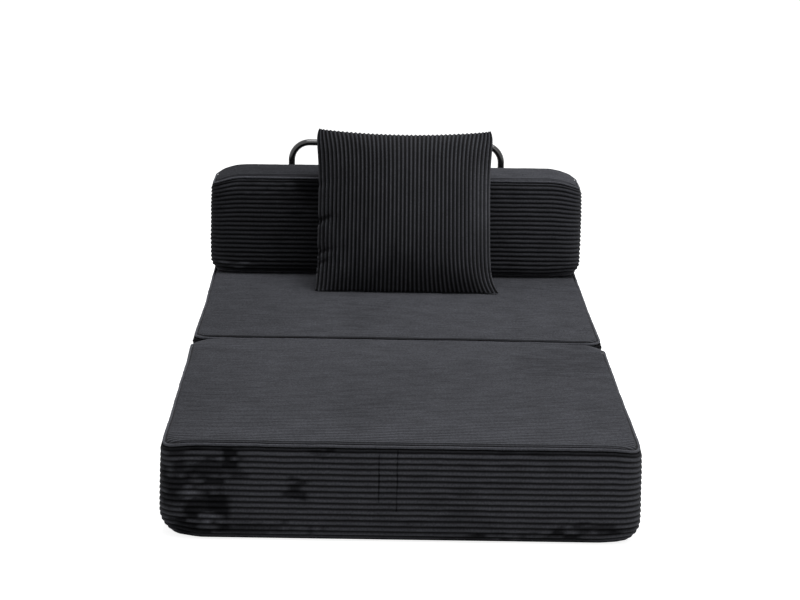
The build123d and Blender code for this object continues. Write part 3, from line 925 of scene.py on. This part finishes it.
class SOFABED_OT_seats(bpy.types.Operator):
    """Cover both seat cushions in corduroy, with piping and a base cloth"""

    bl_idname = "sofabed.seats"
    bl_label = "Seat cushions"

    def execute(self, context):
        for name in ("front_seat", "rear_seat"):
            cushion = BoxedCushion(name, SEAT_CORNER, SEAT_TOP_ROUND, SEAT_BASE_ROUND, SEAT_DRAW)
            if name == "front_seat":
                cushion.front_rounds = FRONT_BASE_ROUNDS
                cushion.droop = SEAT_DROOP
                marks = SEAT_SHADING, FRONT_SHADING, FRONT_PATCHES, PACKING_CREASES
            else:
                low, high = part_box("bolster_side_band")
                cushion.flat_end = high[1] - low[1]
                cushion.tubes = TubeRoom()
                marks = REAR_SEAT_SHADING, REAR_FRONT_SHADING
            cover_cushion(cushion, "base_cloth", *marks)
            # Both layers keep their shared face
            foam_core(name + "_firm_foam", cushion, anchor_share=1.0)
            foam_core(name + "_comfort_foam", cushion, anchor_share=0.0)
        return {"FINISHED"}


class SOFABED_OT_bolster(bpy.types.Operator):
    """Cover the bolster that stands at the back"""

    bl_idname = "sofabed.bolster"
    bl_label = "Bolster"

    def execute(self, context):
        cushion = BoxedCushion(
            "bolster", BOLSTER_CORNER, BOLSTER_TOP_ROUND, BOLSTER_BASE_ROUND, BOLSTER_DRAW)
        cushion.droop = BOLSTER_DROOP
        cushion.front_rounds = BOLSTER_BASE_ROUNDS
        cover_cushion(cushion, "corduroy", BOLSTER_TOP_SHADING, BOLSTER_SHADING, BOLSTER_HIGHLIGHTS)
        foam_core("bolster_foam", cushion)
        return {"FINISHED"}


def pillow_outline(share_x, share_z, half_w, half_h):
    """Where a point of the flat pillow lies: wide at the foot, drawn in above, its top edge sagging."""
    above, below = max(share_z, 0), max(-share_z, 0)
    flare = PILLOW_HEAD_FLARE_SHARE * above ** 3 + PILLOW_FOOT_FLARE_SHARES[share_x >= 0] * below ** 7
    corner = abs(share_x * share_z) ** 9
    x = share_x * (half_w * (PILLOW_WAIST_SHARE + flare) - corner * PILLOW_CORNER_DRAW * above)
    sag = settings("pillow").sag
    dip = sag * (1 - share_x ** 2) ** 0.8 * above ** 3 + PILLOW_CORNER_DIP * corner * above
    return x, share_z * (half_h + PILLOW_SEAM_SHRINK) - dip


def pillow_shell(half_w, half_h, columns, rows):
    """The pillow's front and back, a little bulged and joined along their seams."""
    half_t = settings("pillow").thickness / 2
    form = start_skin(columns, rows)
    bmesh.ops.duplicate(form, geom=form.verts[:] + form.edges[:] + form.faces[:])
    half = len(form.verts) // 2
    form.verts.ensure_lookup_table()
    spots = {}
    for number, vert in enumerate(form.verts):
        share_x, share_z, _ = vert.co
        side = -1 if number < half else 1
        x, z = pillow_outline(share_x, share_z, half_w, half_h)
        bulge = ((1 - share_x ** 2) * (1 - share_z ** 2)) ** 0.5
        vert.co = (x, side * bulge * half_t * PILLOW_START_SHARE, z)
        spots[vert] = (share_x * half_w, share_z * half_h)
    map_cloth(form, spots)
    bmesh.ops.remove_doubles(form, verts=form.verts, dist=MERGE_REACH)
    bmesh.ops.recalc_face_normals(form, faces=form.faces)
    return form


def seam_points(form, half_w, half_h):
    """Numbers of the points on the pillow's seams."""
    uv = form.loops.layers.uv["cloth"]
    spots = {vert.index: vert.link_loops[0][uv].uv for vert in form.verts}
    return [index for index, (across, up) in spots.items()
            if max(abs(across) / half_w, abs(up) / half_h) > 0.999]


def swell(piece, rim, steps=20):
    """Fills the cover between its pinned seams with the cloth solver, and keeps part of its swelling."""
    look = settings("pillow")
    pins = piece.vertex_groups.new(name="seam")
    pins.add(rim, 1.0, "REPLACE")
    cloth = piece.modifiers.new("Swell", "CLOTH")
    cloth.settings.use_pressure = True
    cloth.settings.uniform_pressure_force = look.pressure
    cloth.settings.shrink_min = -look.growth
    cloth.settings.vertex_group_mass = pins.name
    cloth.settings.effector_weights.gravity = 0
    cloth.settings.quality = 6
    cloth.collision_settings.use_collision = False
    cloth.point_cache.frame_end = steps
    for step in range(1, steps + 1):
        bpy.context.scene.frame_set(step)
    depsgraph = bpy.context.evaluated_depsgraph_get()
    swollen = bpy.data.meshes.new_from_object(piece.evaluated_get(depsgraph))
    points = [vert.co.copy() for vert in swollen.vertices]
    piece.modifiers.remove(cloth)
    bpy.context.scene.frame_set(1)
    bpy.data.meshes.remove(swollen)
    for vert, point in zip(piece.data.vertices, points):
        vert.co.y += PILLOW_SWELL * math.tanh((point.y - vert.co.y) / PILLOW_SWELL)
    piece.vertex_groups.clear()


def pucker(piece, rim, rounds=20):
    """Evens out the creases that the solver left, and pinches the cover at the puckers in its left seam."""
    form = bmesh.new()
    form.from_mesh(piece.data)
    rim = set(rim)
    taut = [vert for vert in form.verts if vert.index not in rim]
    for _ in range(rounds):
        bmesh.ops.smooth_vert(form, verts=taut, factor=0.5, use_axis_y=True)
    left = min(vert.co.x for vert in form.verts)
    for vert in form.verts:
        for height, depth in PILLOW_PUCKERS:
            drop = (vert.co.z - height + PUCKER_SLANT * (vert.co.x - left)) / PUCKER_HALF_HEIGHT
            pinch = math.exp(-drop ** 2) * math.exp((left - vert.co.x) / PUCKER_REACH)
            vert.co.y -= math.copysign(min(depth * pinch, abs(vert.co.y)), vert.co.y)
            vert.co.x += PUCKER_DRAW * depth * pinch
    form.to_mesh(piece.data)
    form.free()


def finer_form(piece):
    """A bmesh of the piece with one subdivision."""
    finer = piece.modifiers.new("Finer", "SUBSURF")
    finer.levels = finer.render_levels = 1
    fine = bpy.data.meshes.new_from_object(piece.evaluated_get(bpy.context.evaluated_depsgraph_get()))
    piece.modifiers.remove(finer)
    form = bmesh.new()
    form.from_mesh(fine)
    bpy.data.meshes.remove(fine)
    return form


def sink_grooves(form, half_w, half_h, cords):
    """Lays the pile on the pillow, paints shade into the grooves between its upright cords, and sinks them.
    """
    pile, nap_and_shading = form.verts.layers.float["pile"], form.verts.layers.float["nap_and_shading"]
    uv = form.loops.layers.uv["cloth"]
    form.normal_update()
    for vert in form.verts:
        across, up = vert.link_loops[0][uv].uv
        # A cord, not a groove, lies on each side seam
        cord = (across / half_w + 1) / 2 * cords + 0.5
        vert[pile] = cord_height(cord) ** PILLOW_CORD_SHARPNESS
        vert[nap_and_shading] = PILLOW_CRUSH * crushed(up, across, seed=8.0) + painted_drifts(across, up, PILLOW_SHADING)
        # Painted shade in the grooves, which also takes away their sheen
        vert[nap_and_shading] += PILLOW_GROOVE_SHADE * (1 - vert[pile])
        depth = PILLOW_CORD_DEPTH * (1 - PILLOW_RIM_SHALLOWS * (up / half_h) ** 8)
        vert.co += vert.normal * (vert[pile] - 1) * depth


class SOFABED_OT_pillow(bpy.types.Operator):
    """Make the scatter pillow: two ribbed sides, filled by the cloth solver"""

    bl_idname = "sofabed.pillow"
    bl_label = "Pillow"

    columns = 86
    rows = 60

    def execute(self, context):
        nodes = ("pillow_front_panel", "pillow_upper_back", "pillow_lower_back")
        lows, highs = zip(*(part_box(node) for node in nodes))
        low = Vector([min(values) for values in zip(*lows)])
        high = Vector([max(values) for values in zip(*highs)])
        lean = settings("pillow").lean
        half_w = (high.x - low.x) / 2
        half_h = ((high.z - low.z) / 2 - PILLOW_EDGE / 2 * math.sin(lean)) / math.cos(lean)
        place = Matrix.Translation((low + high) / 2) @ Matrix.Rotation(-lean, 4, "X")

        form = pillow_shell(half_w, half_h, self.columns, self.rows)
        rim = seam_points(form, half_w, half_h)
        piece = make_piece("pillow_cover", form, "pillow", "corduroy", *nodes)
        swell(piece, rim)
        pucker(piece, rim)
        form = bmesh.new()
        form.from_mesh(piece.data)
        bmesh.ops.scale(form, vec=PILLOW_FILL_SHARES, verts=form.verts)
        bmesh.ops.transform(form, matrix=place, verts=form.verts)
        insert = make_piece("pillow_filling", form, "pillow", "fill", "pillow_insert")

        form = finer_form(piece)
        sink_grooves(form, half_w, half_h, self.columns / 2)
        bmesh.ops.transform(form, matrix=place, verts=form.verts)
        form.to_mesh(piece.data)
        form.free()
        piece.data.polygons.foreach_set("use_smooth", [True] * len(piece.data.polygons))
        return {"FINISHED"}


class SOFABED_OT_hinge(bpy.types.Operator):
    """Sew the strip of cloth that joins the seat cushions"""

    bl_idname = "sofabed.hinge"
    bl_label = "Fabric hinge"

    columns = 80
    rows = 16
    # Its colour is mixed partway from the crest towards the groove colour's painted shade
    pile_height = 0.7

    def execute(self, context):
        low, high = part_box("fabric_hinge")
        half_gap = (high[1] - low[1]) / 2
        leg = high[2] - low[2] - half_gap
        middle = (low[1] + high[1]) / 2
        path = 2 * leg + math.pi * half_gap
        form = start_skin(self.columns, self.rows)
        pile = form.verts.layers.float["pile"]
        spots = {}
        for vert in form.verts:
            x = vert.co.x * high[0]
            along = (vert.co.y + 1) / 2 * path
            turn = min(max((along - leg) / half_gap, 0), math.pi)
            if along < leg + half_gap:
                stand = leg - min(along, leg)
            else:
                stand = max(along - leg - math.pi * half_gap, 0)
            y = middle + half_gap * math.cos(turn)
            z = low[2] + half_gap - half_gap * math.sin(turn) + stand
            vert.co = (x, y, z)
            spots[vert] = (x, along)
            vert[pile] = self.pile_height
        map_cloth(form, spots)
        bmesh.ops.recalc_face_normals(form, faces=form.faces)
        strip = make_piece("fabric_hinge_strip", form, None, "corduroy", "fabric_hinge")
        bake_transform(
            strip, "rear_seat", "front_seat", start=(0, middle + half_gap, high[2]),
            end=(0, middle - half_gap, high[2]))
        return {"FINISHED"}


class SOFABED_OT_zips(bpy.types.Operator):
    """Make the tapes and coils of the three zips, and finish their sliders and pulls"""

    bl_idname = "sofabed.zips"
    bl_label = "Zips"

    tape_width = 14 * MM
    tape_thickness = 1.2 * MM
    tape_gap = 0.3 * MM
    # The teeth: their pitch, size of one along and across the zip and outwards, its bevel, its step to a side
    pitch = 1.6 * MM
    tooth = (1.15 * MM, 3.3 * MM, 1.4 * MM)
    bevel = 0.35 * MM
    stagger = 0.35 * MM

    def tape(self, length, edge_round):
        """The tape, flat or bent round the base edge that it is sewn in."""
        form = start_skin(60, 10)
        spots = {}
        for vert in form.verts:
            x, y = vert.co.x * length / 2, vert.co.y * self.tape_width / 2
            fall = edge_round - math.sqrt(edge_round ** 2 - y ** 2) if edge_round else 0
            vert.co = (x, y, -self.tooth[2] / 2 - fall - self.tape_gap)
            spots[vert] = (x, y)
        map_cloth(form, spots)
        return form

    def coil(self, length):
        """The row of teeth."""
        form = bmesh.new()
        for number in range(int(length / self.pitch)):
            along = (number + 0.5) * self.pitch - length / 2
            place = Matrix.Translation((along, self.stagger * (-1) ** number, 0))
            bmesh.ops.create_cube(form, size=1, matrix=place @ Matrix.Diagonal((*self.tooth, 1)))
        bmesh.ops.bevel(
            form, geom=form.edges[:], offset=self.bevel, affect="EDGES", segments=1, profile=0.5, material=-1)
        return form

    def execute(self, context):
        for name in ("front_seat", "rear_seat", "bolster"):
            tape_low, tape_high = (Vector(corner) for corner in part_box(name + "_zip_tape"))
            low, high = (Vector(corner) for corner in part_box(name + "_zip_coil"))
            slanted = name != "bolster"
            out = Vector((0, 1, -1)).normalized() if slanted else Vector((0, 1, 0))
            across = out.cross(Vector((1, 0, 0)))
            middle = (low + high) / 2
            place = Matrix((
                (1, across.x, out.x, 0),
                (0, across.y, out.y, middle.y),
                (0, across.z, out.z, middle.z),
                (0, 0, 0, 1),
            ))
            tape = self.tape(tape_high.x - tape_low.x, SEAT_BASE_ROUND if slanted else 0)
            bmesh.ops.transform(tape, matrix=place, verts=tape.verts)
            tape = make_piece(name + "_zip_tapes", tape, name, "zip_cloth", name + "_zip_tape")
            thicken(tape, self.tape_thickness)
            coil = self.coil(high.x - low.x)
            bmesh.ops.transform(coil, matrix=place, verts=coil.verts)
            make_piece(name + "_zip_teeth", coil, name, "zip_plastic", name + "_zip_coil")
            for part in ("_zip_slider", "_zip_pull"):
                finish_node(name + part, "zip_metal")
        return {"FINISHED"}


def finish_node(node, slot):
    """Gives a frame node its finish."""
    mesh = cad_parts[node].data
    mesh.materials.clear()
    mesh.materials.append(finishes()[slot])


class SOFABED_OT_tubes(bpy.types.Operator):
    """Finish the hoop, the runners under the cushion, and their plugs, feet and screws"""

    bl_idname = "sofabed.tubes"
    bl_label = "Tube frame"

    def execute(self, context):
        for node in ("back_hoop", "left_runner", "right_runner", "runner_cross_tube"):
            finish_node(node, "black_tube")
        for node in ("runner_end_plugs", "runner_feet"):
            finish_node(node, "frame_plastic")
        finish_node("hoop_screws", "screw_steel")
        return {"FINISHED"}


def paper_floor(colour):
    """Seamless studio paper: matte, lifted to white for the camera, with the object's soft shadow on it."""
    material, tree = start_material("Studio paper")
    shader = add_node(
        tree, "BsdfPrincipled", {"Base Color": (*colour, 1), "Roughness": 1.0, "Specular IOR Level": 0.0})
    seen = add_node(tree, "LightPath").outputs["Is Camera Ray"]
    lift = add_node(tree, "Math", {0: seen, 1: settings("stage").lift}, operation="MULTIPLY")
    glow = add_node(tree, "Emission", {"Strength": lift.outputs[0]})
    both = add_node(tree, "AddShader", {0: shader.outputs["BSDF"], 1: glow.outputs["Emission"]})
    add_node(tree, "OutputMaterial", {"Surface": both.outputs[0]})
    return material


def hang_lamp(name, size, power, place, turn):
    """Hangs an oblong area light."""
    light = bpy.data.lights.new(name, "AREA")
    light.shape = "RECTANGLE"
    light.size, light.size_y = size
    light.energy = power
    lamp = bpy.data.objects.new(name, light)
    lamp.matrix_world = Matrix.Translation(place) @ turn
    bpy.context.scene.collection.objects.link(lamp)


class SOFABED_OT_stage(bpy.types.Operator):
    """Set up the camera, the floor and the light"""

    bl_idname = "sofabed.stage"
    bl_label = "Stage"

    sensor_width = 36
    view_end = 60
    floor_half_size = 25
    # The large light above, and the one at the front right that points at the bed
    key_size = (3.2, 2.4)
    key_place = (0.7, -0.3, 3.4)
    key_tilt = math.radians(10)
    side_size = (1.6, 1.2)
    side_place = Vector((2.0, -2.6, 1.7))
    side_aim = Vector((0.2, -0.5, 0.2))

    def execute(self, context):
        scene = context.scene
        stage = settings("stage")
        camera = bpy.data.objects.new("photo_camera", bpy.data.cameras.new("photo_camera"))
        camera.data.lens = stage.lens
        camera.data.sensor_width = self.sensor_width
        camera.data.sensor_fit = "HORIZONTAL"
        camera.data.clip_end = self.view_end
        camera.matrix_world = (
            Matrix.Translation(stage.place)
            @ Matrix.Rotation(-stage.yaw, 4, "Z")
            @ Matrix.Rotation(math.pi / 2 - stage.pitch, 4, "X")
            @ Matrix.Rotation(stage.roll, 4, "Z"))
        scene.collection.objects.link(camera)
        scene.camera = camera
        scene.view_settings.view_transform = "Standard"

        form = bmesh.new()
        bmesh.ops.create_grid(form, x_segments=1, y_segments=1, size=self.floor_half_size)
        mesh = bpy.data.meshes.new("floor")
        form.to_mesh(mesh)
        form.free()
        mesh.materials.append(paper_floor(stage.floor))
        floor = bpy.data.objects.new("floor", mesh)
        scene.collection.objects.link(floor)

        tilt = Matrix.Rotation(self.key_tilt, 4, "Y")
        hang_lamp("key", self.key_size, stage.key_power, self.key_place, tilt)
        turn = (self.side_place - self.side_aim).to_track_quat("Z", "Y").to_matrix().to_4x4()
        hang_lamp("side", self.side_size, stage.side_power, self.side_place, turn)

        world = bpy.data.worlds.new("studio")
        scene.world = world
        world.use_nodes = True
        tree = world.node_tree
        tree.nodes.clear()
        rays = add_node(tree, "LightPath")
        direct = add_node(
            tree, "Math", {0: rays.outputs["Is Camera Ray"], 1: rays.outputs["Is Glossy Ray"]},
            operation="MAXIMUM")
        direct = add_node(
            tree, "Math", {0: direct.outputs[0], 1: rays.outputs["Is Transmission Ray"]}, operation="MAXIMUM")
        strength = add_node(tree, "MapRange", {"Value": direct.outputs[0], 3: stage.ambient, 4: 1.0})
        light = add_node(tree, "Background", {"Color": (1, 1, 1, 1), "Strength": strength.outputs[0]})
        add_node(tree, "OutputWorld", {"Surface": light.outputs[0]})
        return {"FINISHED"}


class SOFABED_PT_panel(bpy.types.Panel):
    """The sofa bed's operators and sizes"""

    bl_idname = "SOFABED_PT_panel"
    bl_label = "Floor sofa bed"
    bl_space_type = "VIEW_3D"
    bl_region_type = "UI"
    bl_category = "Sofa Bed"

    def draw(self, context):
        for operator in OPERATORS:
            self.layout.operator(operator.bl_idname)
        for name, group in GROUPS.items():
            box = self.layout.box()
            box.label(text=name.capitalize())
            for prop in group.__annotations__:
                box.prop(settings(name), prop)


GROUPS = {"cloth": SOFABED_PG_cloth, "pillow": SOFABED_PG_pillow, "stage": SOFABED_PG_stage}
OPERATORS = (
    SOFABED_OT_stage,
    SOFABED_OT_seats,
    SOFABED_OT_bolster,
    SOFABED_OT_pillow,
    SOFABED_OT_hinge,
    SOFABED_OT_zips,
    SOFABED_OT_tubes,
)


def register():
    for cls in (*GROUPS.values(), *OPERATORS, SOFABED_PT_panel):
        bpy.utils.register_class(cls)
    for name, group in GROUPS.items():
        setattr(bpy.types.Scene, "sofabed_" + name, PointerProperty(type=group))


def unregister():
    for name in GROUPS:
        delattr(bpy.types.Scene, "sofabed_" + name)
    for cls in (SOFABED_PT_panel, *reversed(OPERATORS), *reversed(GROUPS.values())):
        bpy.utils.unregister_class(cls)


def main():
    register()
    noise.seed_set(NOISE_SEED)
    for operator in OPERATORS:
        area, name = operator.bl_idname.split(".")
        getattr(getattr(bpy.ops, area), name)()


if __name__ == "__main__":
    main()
